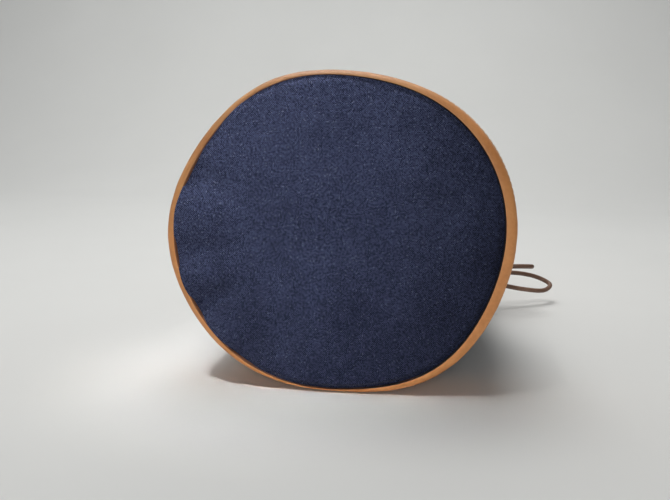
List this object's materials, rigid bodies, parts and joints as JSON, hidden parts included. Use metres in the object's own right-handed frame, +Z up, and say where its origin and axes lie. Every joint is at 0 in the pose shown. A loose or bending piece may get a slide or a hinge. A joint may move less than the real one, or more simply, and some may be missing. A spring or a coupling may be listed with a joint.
{
  "type": "bucket bag",
  "caption": "Canvas bucket bag with leather base band and rim, drawn in by a tied leather cord through brass eyelets, lying on its side with a swinging shoulder strap.",
  "frame": {"origin": "middle of the base panel's outer face", "axes": "+Y along the bag from its base to its mouth, +Z up as the bag lies on its side, +X to the right seen from the base"},
  "size_m": [0.2614, 0.5034, 0.2032],
  "materials": {
    "canvas": "matte plain-weave cotton canvas, navy",
    "tan_leather": "smooth tan leather with a soft sheen",
    "cord_leather": "round dark brown leather cord",
    "brass": "satin brass",
    "lining": "plain undyed cotton",
    "board": "grey fibre board"
  },
  "bodies": {
    "bag": {"base_panel": "canvas", "base_board": "board", "base_band": "tan_leather", "body_front": "canvas", "body_back": "canvas", "side_strip_upper": "tan_leather", "side_strip_lower": "tan_leather", "rim_binding": "tan_leather", "lining": "lining", "eyelet_01": "brass", "eyelet_02": "brass", "eyelet_03": "brass", "eyelet_04": "brass", "eyelet_05": "brass", "eyelet_06": "brass", "eyelet_07": "brass", "eyelet_08": "brass", "eyelet_09": "brass", "eyelet_10": "brass", "eyelet_11": "brass", "eyelet_12": "brass", "strap_rivet_upper": "brass", "strap_rivet_lower": "brass", "drawstring": "cord_leather", "bow_knot": "cord_leather", "bow_loop_upper": "cord_leather", "bow_loop_lower": "cord_leather", "cord_tail_a": "cord_leather", "cord_tail_b": "cord_leather", "tail_knot_a": "cord_leather", "tail_knot_b": "cord_leather"},
    "strap": {"strap": "tan_leather"}
  },
  "joints": [
    {"name": "strap_swing", "type": "hinge", "parent": "bag", "child": "strap", "pos_m": [0, 0.237, -0.0152], "axis": [0.6691, 0, 0.7431], "range_deg": [0, 95]}
  ]
}
